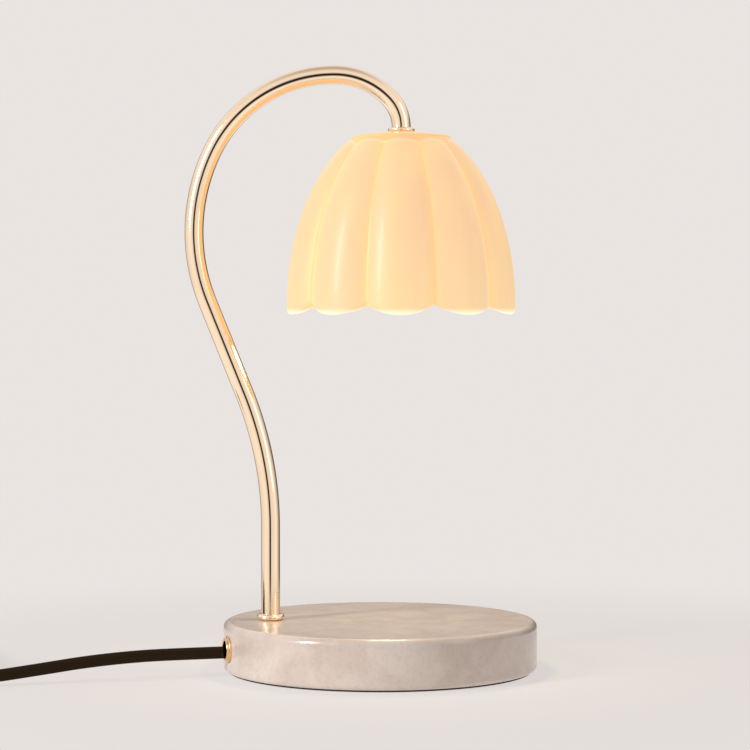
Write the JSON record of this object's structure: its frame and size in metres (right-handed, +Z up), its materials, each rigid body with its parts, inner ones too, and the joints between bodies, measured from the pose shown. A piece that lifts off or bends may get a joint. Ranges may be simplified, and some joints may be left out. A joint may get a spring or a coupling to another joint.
{
  "type": "candle warmer lamp",
  "caption": "Lamp that warms a jar candle from above: round marble base, curved metal neck, petalled glass shade over a reflector bulb, cord with rotary dimmer and plug",
  "frame": {"origin": "on the floor under the middle of the marble disc", "axes": "+Z up; +X from the neck towards the side that the shade hangs over; +Y away from the viewer of the picture, so the front is -Y"},
  "size_m": [0.4523, 0.15, 0.2889],
  "materials": {
    "board": "green circuit board",
    "ceramic": "matte ceramic",
    "contact": "spring brass",
    "cord": "satin black",
    "foam": "black foam pad",
    "gasket": "pale rubber",
    "gold": "polished pale gold",
    "housing": "satin black",
    "lens": "clear",
    "marble": "polished marble, warm beige-grey with fine veins",
    "opal": "opal glass, satin outside",
    "pin": "bright",
    "reflector": "silvered glass",
    "splice": "white nylon",
    "wire": "silicone covered wire",
    "zinc": "zinc plated"
  },
  "bodies": {
    "lamp": {"marble_base": "marble", "base_pad": "foam", "anchor_plate": "zinc", "lock_washer": "zinc", "base_nut": "zinc", "neck_tube": "gold", "foot_collar": "gold", "shade_collar": "gold", "glass_shade": "opal", "shade_gasket": "gasket", "shade_cap": "zinc", "shade_nut": "zinc", "bracket_nut": "zinc", "socket_bracket": "zinc", "bracket_screws": "zinc", "lamp_holder": "ceramic", "holder_contacts": "contact", "lead_wires": "wire", "splice_caps": "splice", "inner_cord": "cord", "cord_stop": "splice", "cord_grommet": "gold", "cord_lead": "cord", "dimmer_relief_in": "cord", "dimmer_relief_out": "cord", "dimmer_lower": "housing", "dimmer_upper": "housing", "dimmer_screws": "zinc", "dimmer_board": "board", "dimmer_pot": "housing", "cord_coil": "cord", "plug_sleeve": "cord", "plug_body": "housing", "plug_blades": "contact"},
    "dial": {"dimmer_dial": "housing", "dimmer_shaft": "zinc"},
    "bulb": {"bulb_base": "ceramic", "bulb_pins": "pin", "bulb_reflector": "reflector", "bulb_lens": "lens", "bulb_capsule": "lens"}
  },
  "joints": [
    {"name": "dial_turn", "type": "hinge", "parent": "lamp", "child": "dial", "pos_m": [-0.284, 0.06, 0.018], "axis": [0, 0, 1], "range_deg": [-140, 140]},
    {"name": "bulb_twist", "type": "hinge", "parent": "lamp", "child": "bulb", "pos_m": [0.01002, 0, 0.2252], "axis": [0, 0, 1], "range_deg": [-25, 0]}
  ]
}
